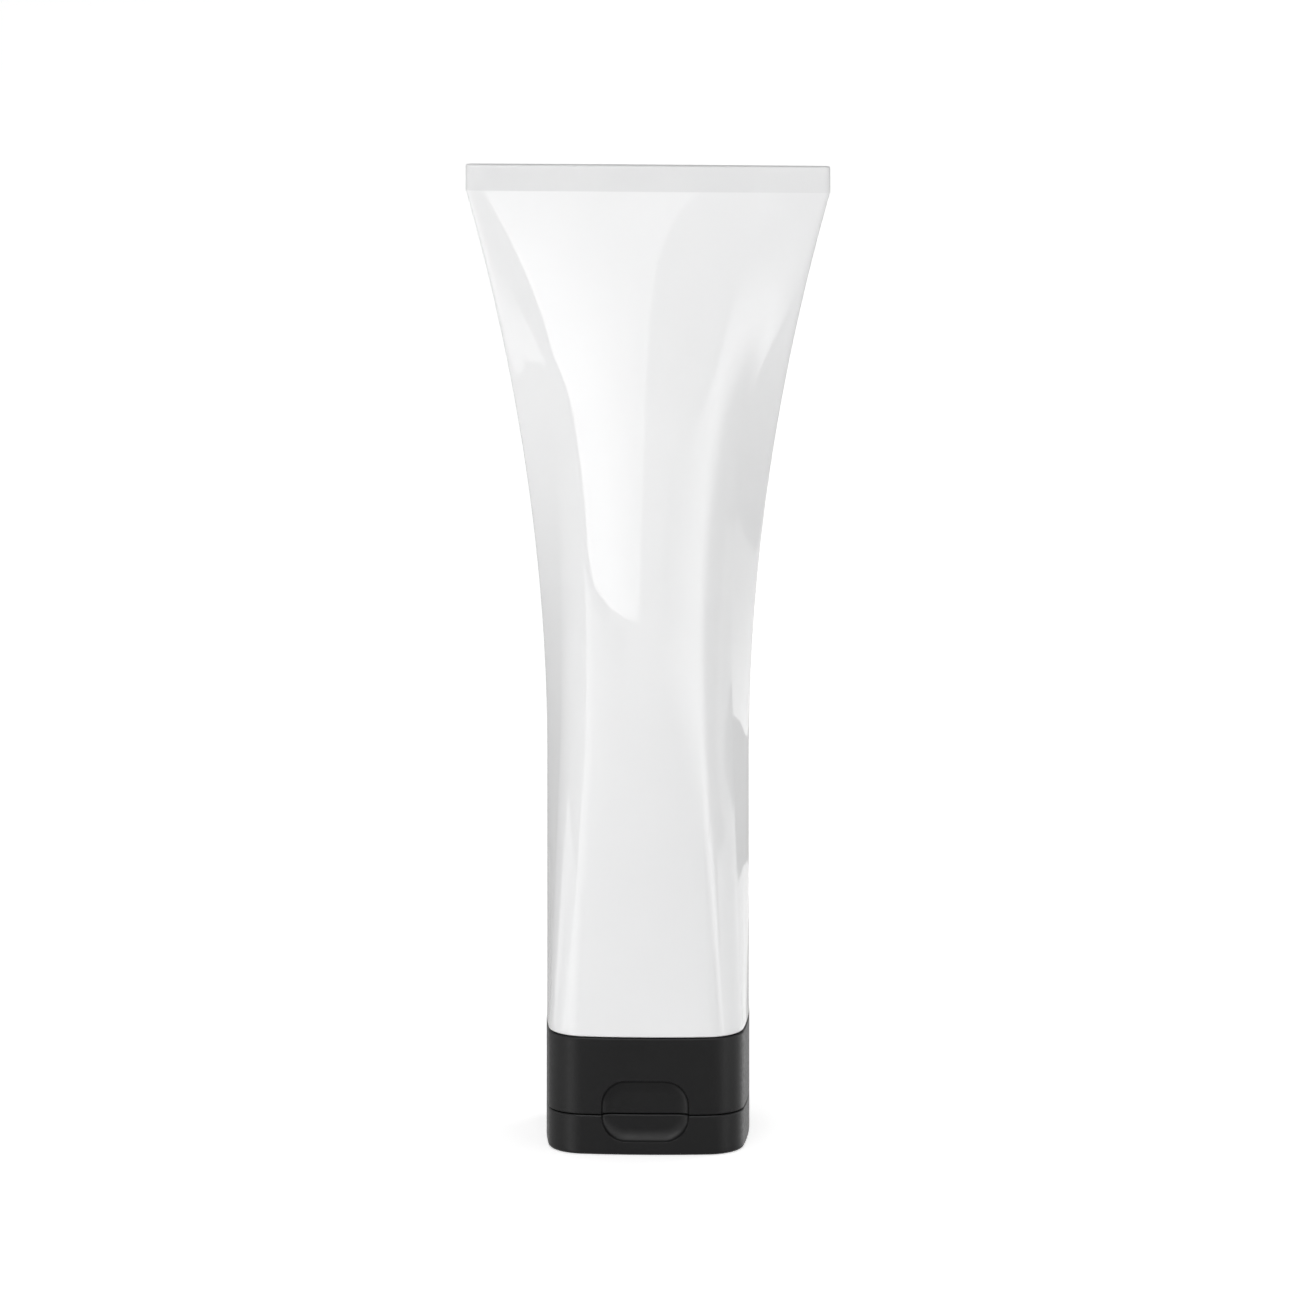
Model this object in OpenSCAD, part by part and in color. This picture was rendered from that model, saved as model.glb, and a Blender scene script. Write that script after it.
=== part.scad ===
/* [Sleeve] */
// Width of the flat crimped end, half the girth of a 40 mm round sleeve
flat_w = 62.8; // [60:0.2:66]
// Overall height of the tube standing on its lid
total_h = 171.3; // [165:0.1:180]
// Height of the crimp band
seal_h = 4.6; // [3.6:0.1:6]
// Thickness of the crimp band
seal_t = 1.4; // [1.3:0.1:1.6]
// Thickness of the laminate wall
wall_t = 0.5; // [0.4:0.05:0.55]
// Share of the sleeve's height that keeps the cap's width before it flares
straight_share = 0.32; // [0.26:0.01:0.4]

/* [Cap] */
// Width and depth of the rounded-square cap
cap_w = 34.8; // [34.4:0.1:36]
// Height of the cap with its lid shut
cap_h = 20.7; // [20.4:0.1:22]
// Height of the parting line between lid and cap base
lid_h = 7.1; // [7:0.1:7.3]
// Radius of the cap's upright corners
corner_r = 6.7; // [6.2:0.1:7.4]
// Radius of the gentle crown on the cap's four faces
crown_r = 107; // [100:1:130]
// Thickness of the cap's outer wall
cap_wall = 1.4; // [1.3:0.05:1.45]
// Rounding of the edge that the tube stands on
foot_r = 0.7; // [0.4:0.1:1]

/* [Finger notch] */
// Width of the notch across the cap's front
notch_w = 15.2; // [13:0.1:17]
// Height of the notch, partly in the lid and partly in the cap base
notch_h = 10.9; // [10:0.1:11.5]
// Height of the notch's lower end above the floor
notch_low = 2.3; // [2:0.1:2.8]
// Depth of the notch at the middle of the face
notch_depth = 1.2; // [0.8:0.1:1.3]
// Radius of the notch's corners
notch_r = 4.4; // [4:0.1:4.8]
// Width of the concave side that runs round the notch's flat floor
notch_side = 2.4; // [1.8:0.1:2.8]

/* [Spout and neck] */
// Radius of the hole the cream comes out of
bore_r = 2.5; // [2.5:0.05:2.7]
// Outer radius of the neck that the cap snaps onto
neck_r = 8; // [7.6:0.1:8.2]

/* [Hidden] */
$fn = 64;

// Heights of the cap's parts
part_gap = 0.12;
lid_rim = lid_h - part_gap / 2;
base_rim = lid_h + part_gap / 2;
plate_top = 1.3;
spout_tip = 3.2;
plug_top = 5.5;
collar_low = 5.9;
deck_low = 7.6;
deck_top = 9;
seat_top = 10.3;
socket_top = 17;

// Heights of the tube's parts
sleeve_low = cap_h + 0.15;
seal_low = total_h - seal_h;
flange_top = sleeve_low + 1.6;
neck_low = seat_top + 0.1;
skirt_low = sleeve_low - 1.95;

// Plan shape: four crowned faces joined by tangent corner arcs
half_w = cap_w / 2;
face_off = crown_r - half_w;
corner_c = (sqrt(2 * pow(crown_r - corner_r, 2) - pow(face_off, 2)) - face_off) / 2;
face_deg = atan2(corner_c, face_off + corner_c);
quarter_len = 2 * crown_r * face_deg + corner_r * (90 - 2 * face_deg);
face_n = 5;
corner_n = 8;
side_n = 7;
quarter_n = face_n + corner_n + side_n;

// Hinge: a flat land across the back, a pocket for the films and the axis they bend about
hinge_y = half_w - 0.5;
land_y = hinge_y - 0.05;
land_top = 2 * lid_h + 0.6;
pocket_y = hinge_y - 0.45;
pocket_half_w = 8.2;
pocket_half_h = 1.5;

// Sleeve shape
sleeve_half = half_w - 0.05;
flare_power = 1.95;
wedge_power = 1.6;
lens_round = 0.5;
lens_c = 1 / (lens_round * (2 - lens_round));
level_n = 28;
inner_level_n = 14;
inner_top_share = 0.992;
cream_top_share = 0.98;
flange_gap = 0.1;
cream_gap = 0.2;
socket_gap = 0.15;

// Plan angles, 0 at the middle of the front and 90 at the middle of the right side
quarter_deg = concat(
    [for (i = [0:face_n - 1]) face_deg * i / face_n],
    [for (i = [0:corner_n - 1]) face_deg + (90 - 2 * face_deg) * i / corner_n],
    [for (i = [side_n:-1:0]) 90 - face_deg * pow(i / side_n, 2)]
);
ring_deg = concat(
    [for (i = [0:quarter_n - 1]) quarter_deg[i]],
    [for (i = [quarter_n:-1:1]) 180 - quarter_deg[i]],
    [for (i = [0:quarter_n - 1]) 180 + quarter_deg[i]],
    [for (i = [quarter_n:-1:1]) 360 - quarter_deg[i]]
);

function turned(p, a) = [p.x * cos(a) - p.y * sin(a), p.x * sin(a) + p.y * cos(a)];
function on_face(a, d) = [(crown_r - d) * sin(a), face_off - (crown_r - d) * cos(a)];
function on_corner(a, d) = [corner_c + (corner_r - d) * sin(a), -corner_c - (corner_r - d) * cos(a)];
function quarter_point(a, d) =
    a < face_deg ? on_face(a, d)
    : a <= 90 - face_deg ? on_corner(a, d)
    : turned(on_face(a - 90, d), 90);

// Outline of the cap, moved in by d
function outline_point(a, d) =
    let (q = floor(a / 90))
    turned(quarter_point(a - 90 * q, d), 90 * q);
function outline(d) = [for (a = ring_deg) outline_point(a, d)];
function cap_ring(z, d) = [for (p = outline(d)) [p.x, p.y, z]];

// Distance round the outline from the front's middle, as a share of a quarter
function arc_share(a) =
    (a < face_deg ? crown_r * a
    : a <= 90 - face_deg ? crown_r * face_deg + corner_r * (a - face_deg)
    : quarter_len - crown_r * (90 - a)) / quarter_len;

// Sleeve: the cap's outline at t = 0, a flat crimp at t = 1
function share_up(z) = min(1, (z - sleeve_low) / (seal_low - sleeve_low));
function height_at(t) = sleeve_low + t * (seal_low - sleeve_low);
function half_width(t) =
    let (u = max(0, (t - straight_share) / (1 - straight_share)))
    sleeve_half + (flat_w / 2 - sleeve_half) * pow(u, flare_power);
function half_depth(t) = sleeve_half + (seal_t / 2 - sleeve_half) * pow(t, wedge_power);
function crimp_edge(s) = sqrt(max(0, 1 - pow(s, 60)));

// Half a flattened section over the share s: round across its middle, straight out to its edge
function lens(s) =
    s < lens_round ? 1 - lens_c * s * s : 1 - lens_c * lens_round * (2 * s - lens_round);
function first_quarter(a) = a <= 90 ? a : a <= 180 ? 180 - a : a <= 270 ? a - 180 : 360 - a;

// One ring of the sleeve at height z; d is the depth below its surface, e rounds an edge
function sleeve_ring(z, d = 0, e = 0) =
    let (t = share_up(z))
    let (w = half_width(t) - d * (1 + t) - e)
    let (b = half_depth(t) - d - e)
    let (rim = d > 0 ? 0 : t * (seal_t / 2 - 0.1 - e))
    [for (a = ring_deg)
        let (f = first_quarter(a))
        let (s = arc_share(f))
        let (u = quarter_point(f, 0) / half_w)
        let (r = rim * crimp_edge(s))
        [
            (a < 180 ? 1 : -1) * w * ((1 - t) * u.x + t * s),
            (a < 90 || a > 270 ? -1 : 1) * (r + (b - r) * (t * lens(s) - (1 - t) * u.y)),
            z
        ]
    ];

// Closed solid through a list of rings, with a flat end on the first and the last
module loft(rings) {
    n = len(rings[0]);
    last = len(rings) - 1;
    polyhedron(
        points = [for (r = rings) each r],
        faces = concat(
            [[for (i = [0:n - 1]) i]],
            [for (k = [0:last - 1]) for (i = [0:n - 1])
                [k * n + i, (k + 1) * n + i, (k + 1) * n + (i + 1) % n]],
            [for (k = [0:last - 1]) for (i = [0:n - 1])
                [k * n + i, (k + 1) * n + (i + 1) % n, k * n + (i + 1) % n]],
            [[for (i = [n - 1:-1:0]) last * n + i]]
        ),
        convexity = 6
    );
}

// Upright wall between two insets of the cap's outline
module wall_ring(d_out, d_in, z0, z1) {
    translate([0, 0, z0])
        linear_extrude(z1 - z0)
            difference() {
                polygon(outline(d_out));
                polygon(outline(d_in));
            }
}

// Rounded rectangle across the cap's front, moved in by d, at depth y
function notch_ring(y, d) =
    let (w = notch_w / 2 - d)
    let (h = notch_h / 2 - d)
    let (r = notch_r - d)
    [for (k = [0:3]) for (i = [0:7])
        let (a = 90 * k + 90 * i / 7)
        [
            (k == 0 || k == 3 ? 1 : -1) * (w - r) + r * cos(a),
            y,
            notch_low + notch_h / 2 + (k < 2 ? 1 : -1) * (h - r) + r * sin(a)
        ]
    ];

// Space of the finger notch: a flat floor with concave sides
module notch_space() {
    loft(concat(
        [for (a = [90:-15:0])
            notch_ring(-half_w + notch_depth * sin(a), notch_side * (1 - cos(a)))],
        [notch_ring(-half_w - 1, 0)]
    ));
}

// Thicker wall behind the finger notch
module notch_backing(z0, z1) {
    translate([-notch_w / 2 - 1.4, 1 - half_w, z0])
        cube([notch_w + 2.8, 1.5, z1 - z0]);
}

// What is cut away at the back for the hinge
module hinge_space() {
    translate([-half_w, land_y, -1])
        cube([cap_w, 2, land_top + 1]);
    translate([-pocket_half_w, pocket_y, lid_h - pocket_half_h])
        cube([2 * pocket_half_w, 2, 2 * pocket_half_h]);
}

// Thin band bent over the parting line, from x0 to x1
module hinge_band(x0, x1, r_in, r_out) {
    translate([x0, pocket_y, lid_h])
        intersection() {
            rotate([0, 90, 0])
                difference() {
                    cylinder(r = r_out, h = x1 - x0);
                    translate([0, 0, -1])
                        cylinder(r = r_in, h = x1 - x0 + 2);
                }
            translate([-1, 0, -2])
                cube([x1 - x0 + 2, 2, 4]);
        }
}

// Sleeve wall and crimp in one piece, open at the bottom
module tube_sleeve() {
    color("white")
        loft(concat(
            [for (i = [inner_level_n:-1:0])
                sleeve_ring(height_at(inner_top_share * i / inner_level_n), wall_t)],
            [sleeve_ring(sleeve_low, 0, 0.35)],
            [sleeve_ring(sleeve_low + 0.12, 0, 0.15)],
            [sleeve_ring(sleeve_low + 0.35, 0, 0.03)],
            [sleeve_ring(sleeve_low + 0.6)],
            [for (i = [1:level_n]) sleeve_ring(height_at(i / level_n))],
            [sleeve_ring(total_h - 0.3)],
            [sleeve_ring(total_h, 0, 0.3)]
        ));
}

// Moulded plug in the sleeve's lower end, with the neck that goes down into the cap
module shoulder_and_neck() {
    color("gainsboro")
        difference() {
            union() {
                loft([
                    sleeve_ring(sleeve_low, wall_t + flange_gap),
                    sleeve_ring(flange_top, wall_t + flange_gap)
                ]);
                wall_ring(cap_wall + 0.35, cap_wall + 1.6, skirt_low, sleeve_low + 0.1);
                translate([0, 0, neck_low])
                    cylinder(r = neck_r, h = sleeve_low - neck_low + 0.5);
                translate([0, 0, 12.6])
                    cylinder(r1 = neck_r - 0.05, r2 = neck_r + 0.35, h = 0.35);
                translate([0, 0, 12.95])
                    cylinder(r1 = neck_r + 0.35, r2 = neck_r - 0.05, h = 0.35);
            }
            translate([0, 0, neck_low + 1.2])
                cylinder(r = neck_r - 1.6, h = flange_top);
            translate([0, 0, neck_low - 1])
                cylinder(r = bore_r + 0.1, h = 4);
        }
}

// The cream inside the sleeve and the neck
module cream_fill() {
    color("mintcream")
        union() {
            loft(concat(
                [sleeve_ring(flange_top + 0.05, wall_t + cream_gap)],
                [for (i = [1:inner_level_n - 1])
                    sleeve_ring(
                        height_at(inner_top_share * i / inner_level_n), wall_t + cream_gap
                    )],
                [sleeve_ring(height_at(cream_top_share), wall_t + cream_gap)]
            ));
            translate([0, 0, neck_low + 1.25])
                cylinder(r = neck_r - 1.65, h = flange_top - neck_low);
        }
}

// Upper part of the cap: outer wall, deck, spout, collar and the socket for the neck
module cap_base() {
    color("dimgray")
        difference() {
            union() {
                loft([
                    cap_ring(deck_low, cap_wall),
                    cap_ring(base_rim + 0.15, cap_wall),
                    cap_ring(base_rim, cap_wall - 0.15),
                    cap_ring(base_rim, 0.25),
                    cap_ring(base_rim + 0.25, 0),
                    cap_ring(cap_h - 0.15, 0),
                    cap_ring(cap_h, 0.15),
                    cap_ring(cap_h, cap_wall - 0.15),
                    cap_ring(cap_h - 0.15, cap_wall),
                    cap_ring(deck_top, cap_wall)
                ]);
                notch_backing(base_rim + 0.1, notch_low + notch_h + 1.4);
                difference() {
                    wall_ring(cap_wall + 0.2, cap_wall + 1.2, collar_low, deck_low + 0.4);
                    translate([-notch_w / 2 - 2.2, -half_w, collar_low - 1])
                        cube([notch_w + 4.4, 4, deck_low - collar_low + 1]);
                }
                translate([0, 0, spout_tip])
                    cylinder(r1 = bore_r + 1, r2 = bore_r + 2, h = deck_low - spout_tip + 0.4);
                translate([0, 0, deck_top - 0.4])
                    cylinder(r = neck_r + 1.35, h = socket_top - deck_top + 0.4);
                intersection() {
                    translate([0, 0, deck_top - 0.4])
                        linear_extrude(7)
                            polygon(outline(cap_wall - 0.2));
                    for (k = [0:3])
                        rotate([0, 0, 45 * k])
                            translate([-30, -0.6, 0])
                                cube([60, 1.2, 30]);
                }
            }
            translate([0, 0, seat_top])
                cylinder(r = neck_r + socket_gap, h = 12);
            translate([0, 0, 12.4])
                cylinder(r = neck_r + 0.5, h = 1.1);
            translate([0, 0, spout_tip - 1])
                cylinder(r = bore_r, h = seat_top);
            notch_space();
            hinge_space();
        }
}

// Flip lid that the tube stands on, with the plug that shuts the spout
module flip_lid() {
    color("black")
        difference() {
            union() {
                loft(concat(
                    [for (k = [0:5])
                        cap_ring(foot_r * (1 - cos(18 * k)), foot_r * (1 - sin(18 * k)))],
                    [
                        cap_ring(lid_rim - 0.25, 0),
                        cap_ring(lid_rim, 0.25),
                        cap_ring(lid_rim, cap_wall - 0.15),
                        cap_ring(lid_rim - 0.15, cap_wall),
                        cap_ring(plate_top + 0.5, cap_wall),
                        cap_ring(plate_top, cap_wall + 0.5)
                    ]
                ));
                notch_backing(plate_top - 0.3, lid_rim - 0.1);
                translate([0, 0, plate_top - 0.3])
                    cylinder(r1 = bore_r - 0.04, r2 = bore_r - 0.08, h = 2.4);
                translate([0, 0, plate_top + 2.1])
                    cylinder(r1 = bore_r - 0.08, r2 = bore_r - 0.8, h = plug_top - plate_top - 2.1);
            }
            notch_space();
            hinge_space();
        }
}

// Thin films that the lid turns on, and the wider strap between them
module hinge_film_left() {
    color("gray")
        hinge_band(-7.9, -3.1, 0.18, 0.4);
}

module hinge_film_right() {
    color("gray")
        hinge_band(3.1, 7.9, 0.18, 0.4);
}

module hinge_strap() {
    color("gray")
        hinge_band(-2.4, 2.4, 0.55, 0.85);
}

tube_sleeve();
shoulder_and_neck();
cream_fill();
cap_base();
flip_lid();
hinge_film_left();
hinge_film_right();
hinge_strap();
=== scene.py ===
"""Looks of a shaving cream tube that stands on its flip-top cap.

Shapes are worked out in millimetres and become metres when a mesh is made. Lights, panels and the
camera are in metres. Plan angles start at the middle of the front and run round by the right side.
"""

import math

import bpy
import numpy as np
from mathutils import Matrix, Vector


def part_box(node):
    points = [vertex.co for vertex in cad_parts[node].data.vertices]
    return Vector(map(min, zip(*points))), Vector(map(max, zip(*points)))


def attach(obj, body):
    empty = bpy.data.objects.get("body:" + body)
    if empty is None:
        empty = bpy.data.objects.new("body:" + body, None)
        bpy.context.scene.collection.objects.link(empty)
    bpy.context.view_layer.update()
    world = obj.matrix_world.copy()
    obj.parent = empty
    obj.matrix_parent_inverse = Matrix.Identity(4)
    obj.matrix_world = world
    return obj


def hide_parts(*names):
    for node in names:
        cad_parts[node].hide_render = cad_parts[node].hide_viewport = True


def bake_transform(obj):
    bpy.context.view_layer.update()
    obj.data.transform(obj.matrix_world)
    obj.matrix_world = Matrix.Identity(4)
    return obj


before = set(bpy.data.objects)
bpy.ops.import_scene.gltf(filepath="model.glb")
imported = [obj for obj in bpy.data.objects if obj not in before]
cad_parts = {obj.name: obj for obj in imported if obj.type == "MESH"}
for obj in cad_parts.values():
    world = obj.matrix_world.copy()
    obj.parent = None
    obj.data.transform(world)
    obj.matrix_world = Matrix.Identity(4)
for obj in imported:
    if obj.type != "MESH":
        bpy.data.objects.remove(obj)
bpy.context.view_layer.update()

# Sizes taken from the CAD boxes; PARTING is the gap between the lid's rim and the base's
MM = 0.001
sleeve_low, sleeve_high = (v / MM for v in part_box("tube_sleeve"))
base_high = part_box("cap_base")[1] / MM
lid_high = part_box("flip_lid")[1] / MM
HALF = base_high.x
CAP_TOP = base_high.z
LID_RIM = lid_high.z
PARTING = 0.12
BASE_RIM = LID_RIM + PARTING
SPLIT = LID_RIM + PARTING / 2
FLAT_HALF = sleeve_high.x
TOP = sleeve_high.z
SLEEVE_LOW = sleeve_low.z

# Cap: radii of its bowed faces and of its corners in plan, wall, and rounding of the standing edge
CROWN = 107.0
CORNER = 6.7
WALL = 1.4
FOOT = 0.7
# Rounded edges, inside and outside: of the rims at the parting line, and of the top
LIP_IN, LIP_OUT = 0.15, 0.26
TOP_IN, TOP_OUT = 0.15, 0.2
# Distance from a rim to the first row of the plain wall
LIP_END = LIP_OUT + 0.01
# Flat land on the back below LAND_TOP, and the hinge pocket in it
LAND_Y, LAND_TOP = HALF - 0.55, 14.8
POCKET_Y, POCKET_HALF_W, POCKET_HALF_H = HALF - 0.95, 8.2, 1.5
# Finger notch: size, height of its lower edge, corner radius, depth and width of its sloping side
NOTCH_W, NOTCH_H, NOTCH_LOW, NOTCH_R = 15.2, 10.9, 2.3, 4.4
NOTCH_DEPTH, NOTCH_SIDE = 1.2, 2.4
# Soft edge round the notch: its width, and how much of it lies outside the notch
NOTCH_EDGE, NOTCH_EDGE_OUT = 0.3, 0.04
# Distance between rows and columns across the notch, and between the wall's other rows
FINE, COARSE = 0.11, 0.45
# Inset from which the outline is plain, without the notch
PLAIN_INSET = 5.0
# Radius of the smallest ring round the axis, which an end face closes
AXIS_R = 0.02

# Lid: inner face of its plate, rounding up to the wall, and the plug's radii and heights from its
# tip down to its foot
PLATE_TOP, PLATE_ROUND = 1.3, 0.8
PLUG = [
    (AXIS_R, 5.5), (1.35, 5.5), (1.55, 5.46), (1.68, 5.36), (1.75, 5.2),
    (2.1, 4.35), (2.36, 3.6), (2.41, 3.42), (2.42, 3.3), (2.46, 1.75),
]
PLUG_FOOT_R, PLUG_FOOT = 2.55, 0.45

# Cap base: deck, and the collar under it by the insets of its inner and outer faces
DECK_LOW, DECK_TOP = 7.6, 9.0
COLLAR_LOW, COLLAR_ROUND = 5.9, 0.2
COLLAR_IN, COLLAR_OUT = WALL + 1.2, WALL + 0.2
COLLAR_GAP_HALF = NOTCH_W / 2 + 2.2
# Spout: heights of the rows down its bore, its rounded tip, and the cone and fillet up to the deck
BORE_R = 2.5
BORE_ROWS = (10.3, 8.0, 6.0, 4.5, 3.4)
SPOUT_TIP = [
    (2.53, 3.28), (2.62, 3.21), (2.75, 3.2), (3.2, 3.2), (3.38, 3.22), (3.48, 3.3), (3.52, 3.42),
]
SPOUT_R, SPOUT_FOOT_R, SPOUT_FOOT_Z, SPOUT_FOOT = 3.52, 4.42, 7.02, 0.58
# Ring on the deck that takes the neck, from its outside over its top to the groove and the seat
SOCKET = [
    (9.35, DECK_TOP), (9.35, 16.8), (9.15, 17.0), (8.35, 17.0), (8.15, 16.8),
    (8.15, 13.5), (8.5, 13.5), (8.5, 12.4), (8.15, 12.4), (8.15, 10.3),
]

# Hinge: inner and outer wrap radii of the films and of the strap, where they lie to the right of
# the middle, and the rounding of their long edges
FILM_R, STRAP_R = (0.18, 0.4), (0.55, 0.85)
FILM_FROM, FILM_TO, STRAP_HALF = 3.1, 7.9, 2.4
BAND_EDGE = 0.1

# Sleeve: wall, crimp, and the round middle share of a section's half width
SLEEVE_HALF = HALF - 0.05
SLEEVE_WALL = 0.5
SEAL_H, SEAL_T = 4.6, 1.4
SEAL_LOW = TOP - SEAL_H
LENS_ROUND = 0.5
# Share of the height where the sleeve starts to spread, and the powers it spreads and thins by
SPREAD_FROM, SPREAD_POWER, THIN_POWER = 0.32, 1.95, 1.6
# Height and inset of the rounded edges at the sleeve's foot and at the crimp's top
FOOT_EDGE_H, FOOT_EDGE_IN = 0.45, 0.4
TOP_EDGE_H, TOP_EDGE_IN = 0.38, 0.34
# Distance from the crimp's lower crease of the rows that keep it sharp, and of the wall's last row
CREASE_ROW, BELOW_CREASE = 0.12, 0.3
# Share of the way to the crimp that the inside of the sleeve goes
INSIDE_SHARE = 0.992

# Light: radiance of the room as reflections show it, and the brightest value a panel can have
ROOM = 0.55
PANEL_SCALE = 5.0
# Glow of the floor as the camera sees it and as light, and its half size and corners
FLOOR_SEEN, FLOOR_UNSEEN = 0.6, 0.36
REACH = 3.0
SQUARE = ((-1, -1), (1, -1), (1, 1), (-1, 1))
# Height that the lights face
MIDDLE_Z = 0.085

# Camera: azimuth and elevation in degrees, and the width of its view
VIEW_AZIMUTH, VIEW_ELEVATION = 1.65, 13.85
VIEW_WIDTH = 0.2230
VIEW_CENTRE_Z = 0.0857
CAMERA_DISTANCE = 1.2

# Plan outline: centres of the face and corner arcs, half angle of a face, and a quarter's length
FACE_OFF = CROWN - HALF
CORNER_C = (math.sqrt(2 * (CROWN - CORNER) ** 2 - FACE_OFF**2) - FACE_OFF) / 2
FACE_DEG = math.degrees(math.atan2(CORNER_C, FACE_OFF + CORNER_C))
QUARTER = 2 * CROWN * FACE_DEG + CORNER * (90 - 2 * FACE_DEG)


# ---------------------------------------------------------------- plan shape


def quarter_point(a, d):
    """Points of the outline's first quarter at plan angles a, moved in by d."""
    ra = np.radians(a)
    face = np.stack([(CROWN - d) * np.sin(ra), FACE_OFF - (CROWN - d) * np.cos(ra)], -1)
    corner_x = CORNER_C + (CORNER - d) * np.sin(ra)
    corner_y = -CORNER_C - (CORNER - d) * np.cos(ra)
    corner = np.stack([corner_x, corner_y], -1)
    rb = ra - math.pi / 2
    side = np.stack([(CROWN - d) * np.cos(rb) - FACE_OFF, (CROWN - d) * np.sin(rb)], -1)
    a = a[:, None]
    return np.where(a < FACE_DEG, face, np.where(a <= 90 - FACE_DEG, corner, side))


def outline(a, d):
    """Points of the whole outline at plan angles a from 0 to 360, moved in by d."""
    q = np.floor(a / 90)
    p = quarter_point(a - 90 * q, d)
    c, s = np.cos(q * math.pi / 2), np.sin(q * math.pi / 2)
    return np.stack([p[:, 0] * c - p[:, 1] * s, p[:, 0] * s + p[:, 1] * c], -1)


def arc_share(a):
    """Distance round the first quarter at plan angles a, as a share of the quarter."""
    along_corner = CROWN * FACE_DEG + CORNER * (a - FACE_DEG)
    along_side = QUARTER - CROWN * (90 - a)
    past_face = np.where(a <= 90 - FACE_DEG, along_corner, along_side)
    return np.where(a < FACE_DEG, CROWN * a, past_face) / QUARTER


def ring_angles(quarter):
    """Plan angles of a whole ring, mirrored from those of one quarter that ends at 90."""
    q = np.array(quarter)
    return np.concatenate([q[:-1], 180 - q[:0:-1], 180 + q[:-1], 360 - q[:0:-1]])


# ---------------------------------------------------------------- meshes


def make_object(name, points, faces, body, node):
    """A smooth mesh object from points in millimetres; it rides on a CAD body, if one is given."""
    mesh = bpy.data.meshes.new(name)
    mesh.from_pydata((np.asarray(points) * MM).tolist(), [], faces)
    mesh.validate()
    mesh.update()
    obj = bpy.data.objects.new(name, mesh)
    bpy.context.scene.collection.objects.link(obj)
    mesh.polygons.foreach_set("use_smooth", [True] * len(mesh.polygons))
    if body:
        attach(obj, body)
    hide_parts(node)
    return obj


def loft_faces(rows, n, closed=False):
    """Quads that join rows of n points each; closed joins the last row to the first."""
    faces = []
    last = rows if closed else rows - 1
    for k in range(last):
        low, high = k * n, ((k + 1) % rows) * n
        for i in range(n):
            j = (i + 1) % n
            faces.append((low + i, low + j, high + j, high + i))
    return faces


def inward_faces(rows, n, closed=False):
    """The quads of loft_faces turned over, with an end face on each open end."""
    faces = [tuple(reversed(f)) for f in loft_faces(rows, n, closed)]
    if not closed:
        faces.append(tuple(range(n)))
        faces.append(tuple(range(rows * n - 1, (rows - 1) * n - 1, -1)))
    return faces


def arc(d0, z0, d1, z1, steps, leaves):
    """Insets and heights along a quarter round from (d0, z0) to (d1, z1), without its start.
    It leaves its start along the inset for "d" and along the height for "z"."""
    found = []
    for k in range(1, steps + 1):
        a = math.pi / 2 * k / steps
        if leaves == "d":
            found.append((d0 + (d1 - d0) * math.sin(a), z0 + (z1 - z0) * (1 - math.cos(a))))
        else:
            found.append((d0 + (d1 - d0) * (1 - math.cos(a)), z0 + (z1 - z0) * math.sin(a)))
    return found


def cone(r0, z0, r1, z1, steps):
    """Radii and heights along a straight side from (r0, z0) to (r1, z1), without its start."""
    shares = [k / steps for k in range(1, steps + 1)]
    return [(r0 + (r1 - r0) * share, z0 + (z1 - z0) * share) for share in shares]


def foot_fillet(r, z, size, up):
    """Radii and heights of the fillet round the foot of the plug (up -1) or of the spout (up 1)."""
    angles = (0.4, 0.8, 1.2, 1.57)
    return [(r + size * (1 - math.cos(a)), z + up * size * math.sin(a)) for a in angles]


# ---------------------------------------------------------------- cap


def plan_angles(places):
    """Plan angles of points on a face at distances from its middle."""
    return [math.degrees(math.asin(x / CROWN)) for x in places]


def cap_columns():
    """Plan angles of the cap's columns: close together across the notch and at the pocket's ends."""
    notch = plan_angles(np.arange(0, 8.9, FINE))
    face_rest = list(np.linspace(notch[-1] + 0.15, FACE_DEG, 5))
    pocket = plan_angles(
        [0, 0.8, 1.6, 2.4, 3.2, 4, 4.8, 5.6, 6.4, 7.2, 7.8, 8.1, 8.17, 8.23, 8.4, 9, 9.6]
    )
    corner = list(np.linspace(FACE_DEG, 90 - FACE_DEG, 33))[1:]
    side = list(np.linspace(90 - FACE_DEG, 90, 13))[1:]
    front_quarter = notch + face_rest + corner + side
    back_quarter = pocket + [FACE_DEG] + corner + side
    right = front_quarter[:-1] + [180 - a for a in back_quarter[::-1]]
    return np.array(right + [360 - a for a in right[-2:0:-1]])


CAP_COLUMNS = cap_columns()
CAP_PLAN = outline(CAP_COLUMNS, 0.0)
CAP_BEARING = np.arctan2(CAP_PLAN[:, 1], CAP_PLAN[:, 0])


def notch_depth(x, z):
    """How far the finger notch goes in at points of the front."""
    qx = np.abs(x) - (NOTCH_W / 2 - NOTCH_R)
    qz = np.abs(z - NOTCH_LOW - NOTCH_H / 2) - (NOTCH_H / 2 - NOTCH_R)
    away = np.hypot(np.maximum(qx, 0), np.maximum(qz, 0)) + np.minimum(np.maximum(qx, qz), 0)
    inside = NOTCH_R - away
    u = np.clip(inside / NOTCH_SIDE, 0, 1)
    edge = np.clip((inside + NOTCH_EDGE_OUT) / NOTCH_EDGE, 0, 1)
    edge = edge * edge * (3 - 2 * edge)
    return NOTCH_DEPTH * np.sqrt(1 - (1 - u) ** 2) * edge


def circle_row(r, z):
    """A circle of radius r whose points lie on the same bearings as the outline's."""
    x, y = r * np.cos(CAP_BEARING), r * np.sin(CAP_BEARING)
    return np.stack([x, y, np.full(len(x), z)], -1)


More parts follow.
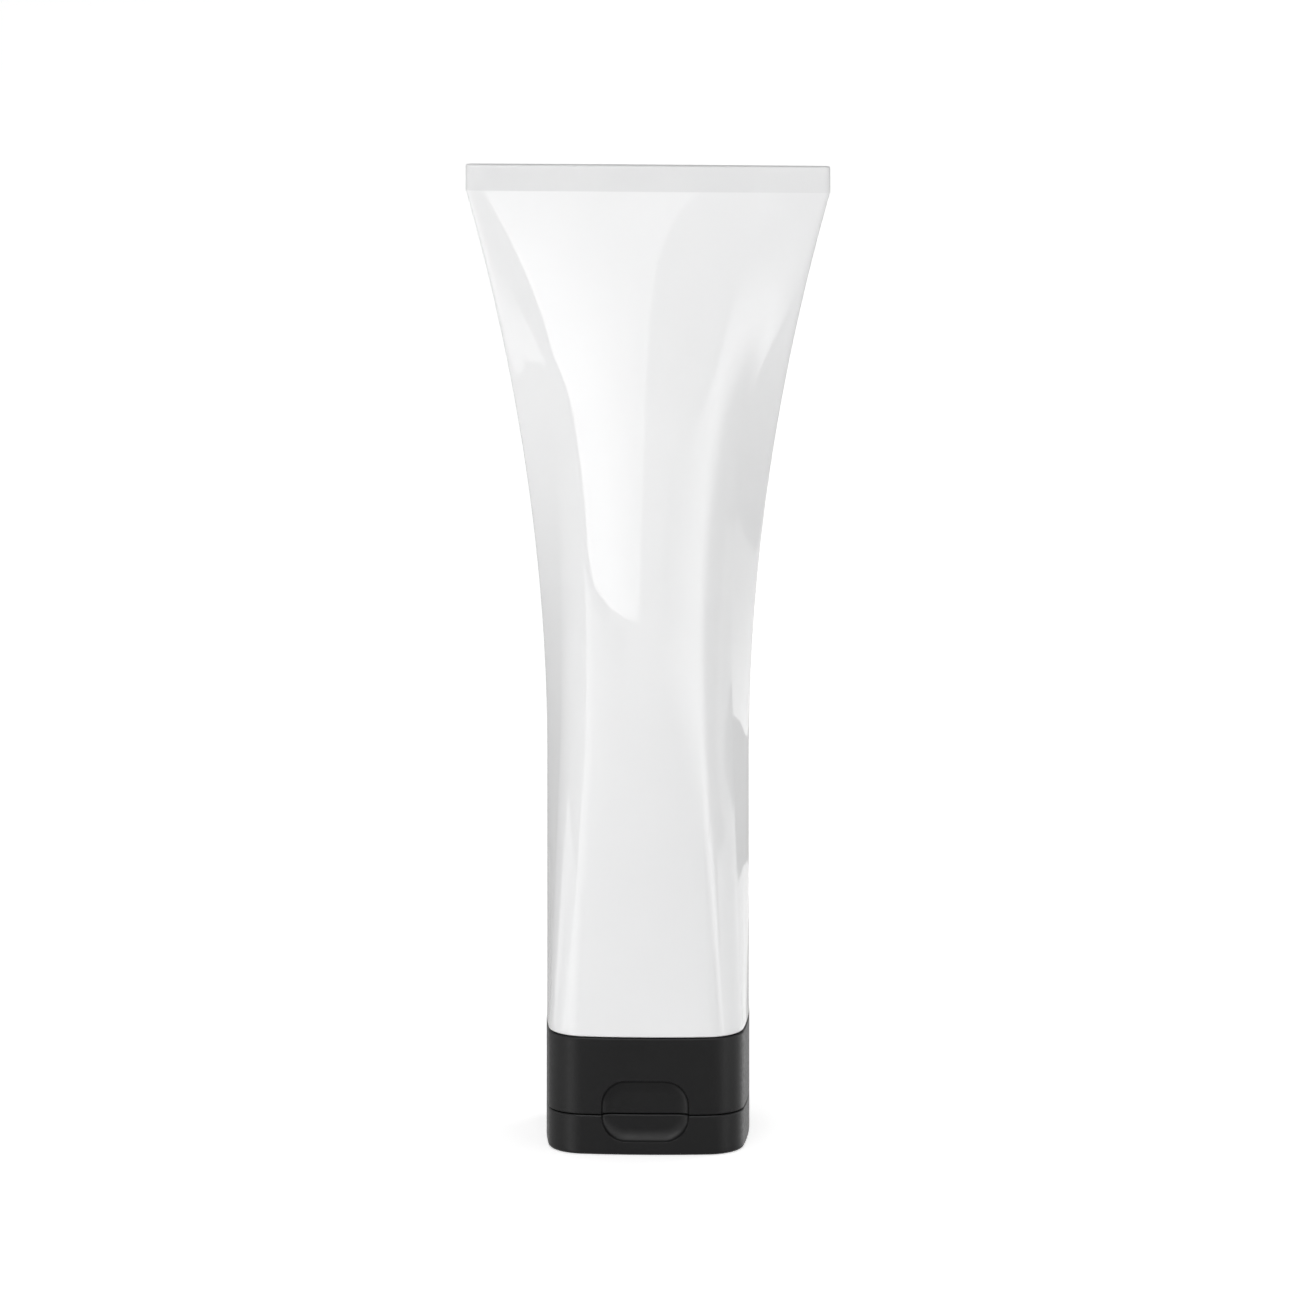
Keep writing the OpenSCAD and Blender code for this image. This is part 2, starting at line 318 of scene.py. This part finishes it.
def cap_row(d, z):
    """The outline moved in by d, with the notch, the land and the pocket where z reaches them."""
    p = outline(CAP_COLUMNS, d)
    x, y = p[:, 0], p[:, 1].copy()
    if d < PLAIN_INSET:
        front_side = y < -HALF / 2
        y[front_side] += notch_depth(x[front_side], z)
    if z < LAND_TOP:
        y = np.minimum(y, LAND_Y)
    if abs(z - SPLIT) < POCKET_HALF_H:
        pocket = (np.abs(x) < POCKET_HALF_W) & (y > 0)
        y[pocket] = np.minimum(y[pocket], POCKET_Y)
    return np.stack([x, y, np.full(len(x), z)], -1)


def collar_row(d, z):
    """As cap_row, but flat on the deck across the notch, where the collar has a gap."""
    p = cap_row(d, z)
    gap = (np.abs(p[:, 0]) < COLLAR_GAP_HALF) & (p[:, 1] < 0)
    flat = cap_row(d, DECK_LOW)
    p[gap] = flat[gap]
    return p


def circle_rows(places):
    """Circles at a list of radii and heights."""
    return [circle_row(r, z) for r, z in places]


def cap_rows(places):
    """Outlines at a list of insets and heights."""
    return [cap_row(d, z) for d, z in places]


def wall_heights(z0, z1, edges):
    """Row heights up an outer wall: close together where the notch is, and at the given edges."""
    found = []
    z = z0
    while z < z1 - 1e-6:
        found.append(z)
        in_notch = NOTCH_LOW - 0.3 < z < NOTCH_LOW + NOTCH_H + 0.3
        z += FINE if in_notch else COARSE
    keep = [h for h in found if all(abs(h - e) > 0.03 for e in edges)]
    return sorted(keep + [e for e in edges if z0 < e < z1])


def sharp_edge(z, half):
    """Heights of the two rows that make a step in the wall sharp at height z."""
    return [z - half, z + half]


POCKET_EDGES = sharp_edge(SPLIT - POCKET_HALF_H, 0.01) + sharp_edge(SPLIT + POCKET_HALF_H, 0.01)
LAND_EDGES = sharp_edge(LAND_TOP, 0.02)


def flip_lid():
    """One skin from the plug's tip, over the plate and the rim, down to the middle of the foot."""
    inner = WALL + PLATE_ROUND
    rows = circle_rows(PLUG)
    rows += circle_rows(foot_fillet(PLUG_FOOT_R, PLATE_TOP + PLUG_FOOT, PLUG_FOOT, -1))
    rows += circle_rows([(5.0, PLATE_TOP), (8.0, PLATE_TOP)])
    rows += cap_rows([(PLAIN_INSET, PLATE_TOP), (inner, PLATE_TOP)])
    rows += cap_rows(arc(inner, PLATE_TOP, WALL, PLATE_TOP + PLATE_ROUND, 6, "d"))
    rows += cap_rows((WALL, z) for z in np.arange(2.4, LID_RIM - 0.2, 0.22))
    rows += cap_rows([(WALL, LID_RIM - LIP_IN)])
    rows += cap_rows(arc(WALL, LID_RIM - LIP_IN, WALL - LIP_IN, LID_RIM, 3, "z"))
    rows += cap_rows([(LIP_OUT, LID_RIM)])
    rows += cap_rows(arc(LIP_OUT, LID_RIM, 0.0, LID_RIM - LIP_OUT, 5, "d"))
    outer = wall_heights(FOOT, LID_RIM - LIP_END, POCKET_EDGES)
    rows += cap_rows((0.0, z) for z in outer[::-1])
    rows += cap_rows(arc(0.0, FOOT, FOOT, 0.0, 8, "z"))
    rows += cap_rows([(1.6, 0.0), (4.0, 0.0)])
    rows += circle_rows([(9.0, 0.0), (4.0, 0.0), (AXIS_R, 0.0)])
    faces = inward_faces(len(rows), len(CAP_COLUMNS))
    return make_object("lid_shell", np.concatenate(rows), faces, "lid", "flip_lid")


def collar_places():
    """Insets and heights of the collar, from the deck down its inside and up its outside."""
    foot = COLLAR_LOW + COLLAR_ROUND
    places = [(COLLAR_IN + 0.02, DECK_LOW - 0.25), (COLLAR_IN, DECK_LOW - 0.5), (COLLAR_IN, foot)]
    places += arc(COLLAR_IN, foot, COLLAR_IN - COLLAR_ROUND, COLLAR_LOW, 3, "z")
    places += [(COLLAR_OUT + COLLAR_ROUND, COLLAR_LOW)]
    places += arc(COLLAR_OUT + COLLAR_ROUND, COLLAR_LOW, COLLAR_OUT, foot, 3, "d")
    return places + [(COLLAR_OUT, DECK_LOW - 0.4), (COLLAR_OUT, DECK_LOW - 0.02)]


def cap_base():
    """One closed skin round the spout, deck, collar, wall, rims and the neck's socket."""
    rows = circle_rows((BORE_R, z) for z in BORE_ROWS)
    rows += circle_rows(SPOUT_TIP)
    rows += circle_rows(cone(SPOUT_R, SPOUT_TIP[-1][1], SPOUT_FOOT_R, SPOUT_FOOT_Z, 8))
    rows += circle_rows(foot_fillet(SPOUT_FOOT_R, SPOUT_FOOT_Z, SPOUT_FOOT, 1))
    rows += circle_rows([(8.0, DECK_LOW)])
    rows += cap_rows([(PLAIN_INSET, DECK_LOW), (COLLAR_IN + 0.3, DECK_LOW)])
    rows += [collar_row(d, z) for d, z in collar_places()]
    rows += cap_rows([(WALL, DECK_LOW), (WALL, BASE_RIM + LIP_IN)])
    rows += cap_rows(arc(WALL, BASE_RIM + LIP_IN, WALL - LIP_IN, BASE_RIM, 3, "z"))
    rows += cap_rows([(LIP_OUT, BASE_RIM)])
    rows += cap_rows(arc(LIP_OUT, BASE_RIM, 0.0, BASE_RIM + LIP_OUT, 5, "d"))
    edges = POCKET_EDGES + LAND_EDGES
    outer = wall_heights(BASE_RIM + LIP_END, CAP_TOP - TOP_OUT, edges)
    rows += cap_rows((0.0, z) for z in outer)
    rows += cap_rows([(0.0, CAP_TOP - TOP_OUT)])
    rows += cap_rows(arc(0.0, CAP_TOP - TOP_OUT, TOP_OUT, CAP_TOP, 4, "z"))
    rows += cap_rows([(WALL - TOP_IN, CAP_TOP)])
    rows += cap_rows(arc(WALL - TOP_IN, CAP_TOP, WALL, CAP_TOP - TOP_IN, 3, "d"))
    rows += cap_rows((WALL, z) for z in np.arange(CAP_TOP - 0.8, 14.0, -0.9))
    rows += cap_rows((WALL, z) for z in np.arange(13.9, DECK_TOP + 0.1, -0.3))
    rows += cap_rows([(WALL, DECK_TOP), (PLAIN_INSET, DECK_TOP)])
    rows += circle_rows(SOCKET)
    faces = inward_faces(len(rows), len(CAP_COLUMNS), closed=True)
    points = np.concatenate(rows)
    return make_object("cap_base_shell", points, faces, "tube", "cap_base")


# ---------------------------------------------------------------- sleeve

SLEEVE_COLUMNS = ring_angles(
    list(np.linspace(0, FACE_DEG, 19))[:-1]
    + list(np.linspace(FACE_DEG, 90 - FACE_DEG, 33))[:-1]
    + [90 - FACE_DEG * (1 - k / 26) ** 2 for k in range(27)]
)
# The same columns folded into the first quarter, and the signs that unfold them
folded_half = np.where(SLEEVE_COLUMNS <= 180, SLEEVE_COLUMNS, 360 - SLEEVE_COLUMNS)
FOLDED = np.where(folded_half <= 90, folded_half, 180 - folded_half)
SIGN_X = np.where(SLEEVE_COLUMNS < 180, 1.0, -1.0)
SIGN_Y = np.where((SLEEVE_COLUMNS < 90) | (SLEEVE_COLUMNS > 270), -1.0, 1.0)
SHARE = arc_share(FOLDED)
UNIT = quarter_point(FOLDED, 0.0) / HALF


def lens(s):
    """Half a flattened section: round across its middle, straight out to its edge."""
    c = 1 / (LENS_ROUND * (2 - LENS_ROUND))
    return np.where(s < LENS_ROUND, 1 - c * s * s, 1 - c * LENS_ROUND * (2 * s - LENS_ROUND))


def sleeve_row(z, d=0.0, e=0.0):
    """One ring of the sleeve at height z; d is the depth below its surface, e rounds an edge."""
    t = min(1.0, (z - SLEEVE_LOW) / (SEAL_LOW - SLEEVE_LOW))
    u = max(0.0, (t - SPREAD_FROM) / (1 - SPREAD_FROM))
    w = SLEEVE_HALF + (FLAT_HALF - SLEEVE_HALF) * u**SPREAD_POWER - d * (1 + t) - e
    b = SLEEVE_HALF + (SEAL_T / 2 - SLEEVE_HALF) * t**THIN_POWER - d - e
    rim = 0.0 if d else t * (SEAL_T / 2 - 0.1 - e)
    r = rim * np.sqrt(np.maximum(0, 1 - SHARE**60))
    x = SIGN_X * w * ((1 - t) * UNIT[:, 0] + t * SHARE)
    y = SIGN_Y * (r + (b - r) * (t * lens(SHARE) - (1 - t) * UNIT[:, 1]))
    return np.stack([x, y, np.full(len(x), z)], -1)


def tube_sleeve():
    """One skin from inside the wall, round the foot and up to a flat crimp."""
    span = SEAL_LOW - SLEEVE_LOW
    wall_low = SLEEVE_LOW + FOOT_EDGE_H
    wall_span = span - FOOT_EDGE_H - BELOW_CREASE
    seal_low = SEAL_LOW + CREASE_ROW
    seal_span = SEAL_H - CREASE_ROW - TOP_EDGE_H
    inside = [SLEEVE_LOW + INSIDE_SHARE * span * k / 24 for k in range(24, -1, -1)]
    rows = [sleeve_row(z, SLEEVE_WALL) for z in inside]
    for k in range(9):
        a = math.pi / 2 * k / 8
        z = SLEEVE_LOW + FOOT_EDGE_H * (1 - math.cos(a))
        rows.append(sleeve_row(z, 0.0, FOOT_EDGE_IN * (1 - math.sin(a))))
    rows += [sleeve_row(wall_low + wall_span * k / 190) for k in range(1, 191)]
    rows += [sleeve_row(z) for z in (SEAL_LOW - CREASE_ROW, SEAL_LOW, seal_low)]
    rows += [sleeve_row(seal_low + seal_span * k / 12) for k in range(1, 13)]
    for k in range(1, 6):
        a = math.pi / 2 * k / 5
        z = TOP - TOP_EDGE_H + TOP_EDGE_H * math.sin(a)
        rows.append(sleeve_row(z, 0.0, TOP_EDGE_IN * (1 - math.cos(a))))
    n = len(SLEEVE_COLUMNS)
    points = np.concatenate(rows)
    faces = loft_faces(len(rows), n)
    faces.append(tuple(range(n - 1, -1, -1)))
    faces.append(tuple(range(len(points) - n, len(points))))
    return make_object("sleeve_skin", points, faces, "tube", "tube_sleeve")


# ---------------------------------------------------------------- hinge


def hinge_band(name, x0, x1, radii, node):
    """A thin film bent over the parting line from x0 to x1, with rounded long edges."""
    r_in, r_out = radii
    mid, half = (r_in + r_out) / 2, (r_out - r_in) / 2
    edge = min(BAND_EDGE, half * 0.9)
    section = []
    for turn, (sx, sr) in enumerate(((1, 1), (-1, 1), (-1, -1), (1, -1))):
        for k in range(5):
            a = math.pi / 2 * k / 4 + turn * math.pi / 2
            x = (x1 if sx > 0 else x0) - sx * edge + edge * math.cos(a)
            section.append((x, mid + sr * (half - edge) + edge * math.sin(a)))
    steps = 28
    points = []
    for k in range(steps + 1):
        a = math.pi * k / steps - math.pi / 2
        for x, r in section:
            points.append((x, POCKET_Y + r * math.cos(a), SPLIT + r * math.sin(a)))
    faces = inward_faces(steps + 1, len(section))
    obj = make_object(name, points, faces, None, node)
    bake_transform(obj)
    return obj


lid = flip_lid()
base = cap_base()
sleeve = tube_sleeve()
films = [
    hinge_band("film_left", -FILM_TO, -FILM_FROM, FILM_R, "hinge_film_left"),
    hinge_band("film_right", FILM_FROM, FILM_TO, FILM_R, "hinge_film_right"),
    hinge_band("strap_middle", -STRAP_HALF, STRAP_HALF, STRAP_R, "hinge_strap"),
]
# Edges steeper than this many degrees stay sharp
for obj, degrees in ((lid, 32), (base, 32), (sleeve, 40)):
    obj.data.set_sharp_from_angle(angle=math.radians(degrees))


# ---------------------------------------------------------------- materials


def new_material(name):
    """An empty principled material, with its node tree and its shader."""
    material = bpy.data.materials.new(name)
    material.use_nodes = True
    tree = material.node_tree
    tree.nodes.clear()
    out = tree.nodes.new("ShaderNodeOutputMaterial")
    shader = tree.nodes.new("ShaderNodeBsdfPrincipled")
    tree.links.new(shader.outputs["BSDF"], out.inputs["Surface"])
    return material, tree, shader


def set_inputs(made, values):
    """Set the inputs of a node by their names."""
    for name, value in values.items():
        made.inputs[name].default_value = value


def noise(tree, waves, detail, roughness=0.5):
    """Object-space noise; waves is how many there are in a metre."""
    place = tree.nodes.new("ShaderNodeTexCoord")
    made = tree.nodes.new("ShaderNodeTexNoise")
    set_inputs(made, {"Scale": waves, "Detail": detail, "Roughness": roughness})
    tree.links.new(place.outputs["Object"], made.inputs["Vector"])
    return made.outputs["Fac"]


def drift(tree, target, waves, detail, low, high):
    """Let an input of the shader drift over the surface from one colour or grey to another."""
    made = tree.nodes.new("ShaderNodeValToRGB")
    for element, position, value in zip(made.color_ramp.elements, (0.3, 0.7), (low, high)):
        element.position = position
        element.color = (*value, 1)
    tree.links.new(noise(tree, waves, detail), made.inputs["Fac"])
    tree.links.new(made.outputs["Color"], target)


def grain(tree, shader, waves, detail, roughness, strength, distance):
    """Raise a fine texture on the surface."""
    made = tree.nodes.new("ShaderNodeBump")
    set_inputs(made, {"Strength": strength, "Distance": distance})
    tree.links.new(noise(tree, waves, detail, roughness), made.inputs["Height"])
    tree.links.new(made.outputs["Normal"], shader.inputs["Normal"])


def grey(v):
    return (v, v, v)


def gloss_white_laminate():
    """Glossy white laminate, nearly a mirror, with a trace of orange peel."""
    material, tree, shader = new_material("gloss_white_laminate")
    low, high = (0.86, 0.862, 0.866), (0.885, 0.887, 0.889)
    drift(tree, shader.inputs["Base Color"], 28.0, 3.0, low, high)
    drift(tree, shader.inputs["Roughness"], 95.0, 4.0, grey(0.012), grey(0.02))
    grain(tree, shader, 900.0, 2.0, 0.5, 0.02, 0.00004)
    set_inputs(shader, {"IOR": 1.5})
    return material


def pressed_white_band():
    """Heat-pressed laminate of the crimp, duller and finely textured."""
    material, tree, shader = new_material("pressed_white_band")
    low, high = (0.75, 0.752, 0.756), (0.775, 0.777, 0.779)
    drift(tree, shader.inputs["Base Color"], 60.0, 3.0, low, high)
    grain(tree, shader, 3600.0, 3.0, 0.6, 0.35, 0.00008)
    set_inputs(shader, {"Roughness": 0.32})
    return material


def satin_black_plastic():
    """Satin black polypropylene with a fine spark-eroded grain."""
    material, tree, shader = new_material("satin_black_plastic")
    low, high = (0.0030, 0.0030, 0.0032), (0.0045, 0.0045, 0.0047)
    drift(tree, shader.inputs["Base Color"], 120.0, 3.0, low, high)
    drift(tree, shader.inputs["Roughness"], 1400.0, 3.0, grey(0.33), grey(0.43))
    grain(tree, shader, 5200.0, 3.0, 0.6, 0.22, 0.00006)
    set_inputs(shader, {"Specular IOR Level": 0.28})
    return material


def natural_white_plastic():
    """Uncoloured polyethylene of the shoulder, a little translucent."""
    material, tree, shader = new_material("natural_white_plastic")
    low, high = (0.78, 0.775, 0.755), (0.82, 0.815, 0.8)
    drift(tree, shader.inputs["Base Color"], 150.0, 3.0, low, high)
    grain(tree, shader, 2500.0, 2.0, 0.5, 0.15, 0.00005)
    set_inputs(shader, {"Roughness": 0.45, "Subsurface Weight": 0.15, "Subsurface Scale": 0.001})
    return material


def soft_cream():
    """Soft cream with a shallow swirl."""
    material, tree, shader = new_material("soft_cream")
    low, high = (0.88, 0.875, 0.85), (0.93, 0.925, 0.905)
    drift(tree, shader.inputs["Base Color"], 220.0, 4.0, low, high)
    grain(tree, shader, 380.0, 3.0, 0.5, 0.5, 0.0004)
    set_inputs(shader, {"Roughness": 0.38, "Subsurface Weight": 0.3, "Subsurface Scale": 0.002})
    return material


def paint(obj, *materials):
    """Give an object these materials and no others."""
    obj.data.materials.clear()
    for material in materials:
        obj.data.materials.append(material)


paint(sleeve, gloss_white_laminate(), pressed_white_band())
for polygon in sleeve.data.polygons:
    if polygon.center.z > SEAL_LOW * MM:
        polygon.material_index = 1
satin_black = satin_black_plastic()
for obj in (lid, base, *films):
    paint(obj, satin_black)
paint(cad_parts["shoulder_and_neck"], natural_white_plastic())
paint(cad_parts["cream_fill"], soft_cream())


# ---------------------------------------------------------------- floor and room


def flat_object(name, corners):
    """A flat piece of the studio from the corners of its one face, in metres."""
    mesh = bpy.data.meshes.new(name)
    mesh.from_pydata(corners, [], [tuple(range(len(corners)))])
    obj = bpy.data.objects.new(name, mesh)
    bpy.context.scene.collection.objects.link(obj)
    return obj


def strength_by_ray(tree, target, seen, unseen):
    """Give a strength one value in the background and another in the light that it gives."""
    ray = tree.nodes.new("ShaderNodeLightPath")
    level = tree.nodes.new("ShaderNodeMapRange")
    set_inputs(level, {"To Min": unseen, "To Max": seen})
    tree.links.new(ray.outputs["Is Camera Ray"], level.inputs["Value"])
    tree.links.new(level.outputs["Result"], target)


floor = flat_object("studio_floor", [(x * REACH, y * REACH, 0) for x, y in SQUARE])
floor_white, tree, shader = new_material("studio_floor_white")
set_inputs(shader, {"Base Color": (0.9, 0.9, 0.9, 1), "Emission Color": (1, 1, 1, 1)})
set_inputs(shader, {"Roughness": 0.9, "Specular IOR Level": 0.0})
strength_by_ray(tree, shader.inputs["Emission Strength"], FLOOR_SEEN, FLOOR_UNSEEN)
paint(floor, floor_white)
floor.visible_glossy = False

world = bpy.data.worlds.new("studio")
bpy.context.scene.world = world
world.use_nodes = True
background = world.node_tree.nodes["Background"]
background.inputs["Color"].default_value = (1, 1, 1, 1)
strength_by_ray(world.node_tree, background.inputs["Strength"], 1.0, ROOM)
world.cycles_visibility.diffuse = False


# ---------------------------------------------------------------- light


def direction(azimuth, elevation):
    """Unit vector away from the object: azimuth 0 is in front, 90 to the right."""
    a, e = math.radians(azimuth), math.radians(elevation)
    return Vector((math.sin(a) * math.cos(e), -math.cos(a) * math.cos(e), math.sin(e)))


def softbox(name, azimuth, elevation, distance, width, height, share):
    """A rectangular light that faces the object's middle; share is what it adds to a white
    surface that faces it."""
    out = direction(azimuth, elevation)
    light = bpy.data.lights.new(name, "AREA")
    light.shape = "RECTANGLE"
    light.size, light.size_y = width, height
    light.energy = share * math.pi**2 * distance**2
    obj = bpy.data.objects.new(name, light)
    bpy.context.scene.collection.objects.link(obj)
    obj.location = Vector((0, 0, MIDDLE_Z)) + out * distance
    obj.rotation_euler = out.to_track_quat("Z", "Y").to_euler()
    return obj


def panel_material(name, stops, lean):
    """A glow whose radiance follows stops along X + lean * Z."""
    material = bpy.data.materials.new(name)
    material.use_nodes = True
    tree = material.node_tree
    tree.nodes.clear()
    place = tree.nodes.new("ShaderNodeTexCoord")
    split = tree.nodes.new("ShaderNodeSeparateXYZ")
    slant = tree.nodes.new("ShaderNodeMath")
    slant.operation = "MULTIPLY_ADD"
    slant.inputs[1].default_value = lean
    start, stop = stops[0][0], stops[-1][0]
    span = tree.nodes.new("ShaderNodeMapRange")
    set_inputs(span, {"From Min": start, "From Max": stop})
    shade = tree.nodes.new("ShaderNodeValToRGB")
    shade.color_ramp.interpolation = "EASE"
    elements = shade.color_ramp.elements
    while len(elements) < len(stops):
        elements.new(0.5)
    for element, (along, radiance) in zip(elements, stops):
        element.position = (along - start) / (stop - start)
        element.color = (*grey(radiance / PANEL_SCALE), 1)
    glow = tree.nodes.new("ShaderNodeEmission")
    glow.inputs["Strength"].default_value = PANEL_SCALE
    out = tree.nodes.new("ShaderNodeOutputMaterial")
    tree.links.new(place.outputs["Object"], split.inputs["Vector"])
    tree.links.new(split.outputs["Z"], slant.inputs[0])
    tree.links.new(split.outputs["X"], slant.inputs[2])
    tree.links.new(slant.outputs["Value"], span.inputs["Value"])
    tree.links.new(span.outputs["Result"], shade.inputs["Fac"])
    tree.links.new(shade.outputs["Color"], glow.inputs["Color"])
    tree.links.new(glow.outputs["Emission"], out.inputs["Surface"])
    return material


def reflector(name, edge, y, stops, lean=0.0, turn=0.0):
    """A bright panel that only shows as a reflection. Its edge is in X and Z at depth y, before
    it is turned about the Z axis; stops give its radiance along X + lean * Z."""
    obj = flat_object(name, [(x, y, z) for x, z in edge])
    obj.rotation_euler.z = math.radians(turn)
    paint(obj, panel_material(name, stops, lean))
    obj.visible_camera = False
    obj.visible_diffuse = False
    obj.visible_shadow = False
    obj.visible_transmission = False


# Lights that fill the shapes; the panels below make the reflections
for fill in (
    softbox("fill_front", -5, 10, 1.4, 0.8, 0.8, 0.49),
    softbox("fill_left", -70, 10, 1.4, 0.5, 0.8, 0.15),
    softbox("fill_back_right", 130, 10, 1.4, 0.8, 0.8, 0.40),
):
    fill.visible_glossy = False
softbox("top", 0, 88, 1.6, 2.0, 2.0, 0.63)

# Softbox in front on the left, wider towards its top
reflector(
    "key_panel",
    [(-0.035, 0.092), (-0.275, 0.092), (-0.275, 0.45), (0.093, 0.45)],
    -0.36,
    [(-0.15, 4.1), (-0.01, 2.7)],
)
# Its paler skirt, in three pieces that bend round the left side as they come nearer
reflector(
    "skirt_far",
    [
        (-0.29, -0.1), (-0.29, 0.007), (-0.25, 0.043), (-0.224, 0.05), (-0.213, 0.09),
        (-0.05, 0.09), (-0.05, -0.1),
    ],
    -0.215,
    [(-0.2, 2.3), (-0.05, ROOM)],
)
reflector(
    "skirt_near",
    [
        (-0.2, -0.2), (-0.2, 0.0188), (-0.182, 0.0236), (-0.165, 0.035),
        (-0.056, 0.035), (-0.056, -0.2),
    ],
    -0.13,
    [(-0.16, 2.4), (-0.056, ROOM)],
)
reflector(
    "skirt_side",
    [(-0.13, -0.02), (-0.13, 0.03), (-0.005, 0.042), (0.04, 0.018), (0.085, -0.01), (0.085, -0.02)],
    0.2,
    [(-0.085, 2.4), (-0.065, 1.3), (0.0, 1.2), (0.045, 2.0)],
    lean=2.84,
    turn=90,
)
# Broad dim panel behind them, brighter towards its top; the lean makes its radiance follow Z alone
reflector(
    "front_panel",
    [(-0.2, 0.03), (0.2, 0.03), (0.2, 0.14), (0.8, 0.14), (0.8, 0.7), (-0.2, 0.7)],
    -0.5,
    [(3.0, ROOM), (13.0, 1.5)],
    lean=100.0,
)
# Soft strip in front on the right, upright above and leaning outwards as it comes nearer below
reflector(
    "strip_upper",
    [(0.05, 0.135), (0.33, 0.135), (0.33, 0.07), (0.05, 0.07)],
    -0.35,
    [(0.05, 1.2), (0.185, 3.2), (0.33, ROOM)],
)
reflector(
    "strip_middle",
    [(0.05, 0.07), (0.33, 0.07), (0.422, 0.03), (0.142, 0.03)],
    -0.35,
    [(0.211, 0.75), (0.346, 3.3), (0.491, ROOM)],
    lean=2.3,
)
reflector(
    "strip_near",
    [(0.0675, 0.045), (0.1875, 0.045), (0.48, -0.15), (0.36, -0.15)],
    -0.15,
    [(0.135, ROOM), (0.195, 3.6), (0.255, 0.9)],
    lean=1.5,
)
# Band that slopes down to the back on the right: its lower edge backwards, then its upper edge
reflector(
    "side_band",
    [
        (-0.25, 0.022), (-0.046, -0.009), (0.082, -0.054), (0.205, -0.102), (0.5, -0.2), (1.5, -0.5),
        (1.5, -0.36), (1.0, -0.219), (0.7, -0.14), (0.57, -0.1),
        (0.173, -0.025), (0.0, 0.002), (-0.2, 0.026),
    ],
    -0.6,
    [(0.1, 1.45), (0.6, 1.7)],
    turn=90,
)
# Low panels beside and behind the tube
reflector(
    "low_panel_side",
    [(-0.12, -0.02), (-0.12, 0.035), (0.07, 0.033), (0.09, 0.02), (0.15, -0.01), (0.15, -0.02)],
    -0.2,
    [(-0.12, 2.2), (0.0, 1.8)],
    turn=90,
)
reflector(
    "low_panel_behind",
    [(0.1, -0.067), (0.36, -0.067), (0.36, -0.1), (0.1, -0.1)],
    0.45,
    [(0.15, 1.1), (0.36, 1.2)],
)


# ---------------------------------------------------------------- camera

camera_data = bpy.data.cameras.new("camera")
camera_data.type = "ORTHO"
camera_data.ortho_scale = VIEW_WIDTH
camera_data.clip_end = 20
camera = bpy.data.objects.new("camera", camera_data)
bpy.context.scene.collection.objects.link(camera)
out = direction(VIEW_AZIMUTH, VIEW_ELEVATION)
camera.location = Vector((0, 0, VIEW_CENTRE_Z)) + out * CAMERA_DISTANCE
camera.rotation_euler = out.to_track_quat("Z", "Y").to_euler()
bpy.context.scene.camera = camera

bpy.context.scene.view_settings.view_transform = "Standard"
bpy.context.scene.view_settings.look = "None"
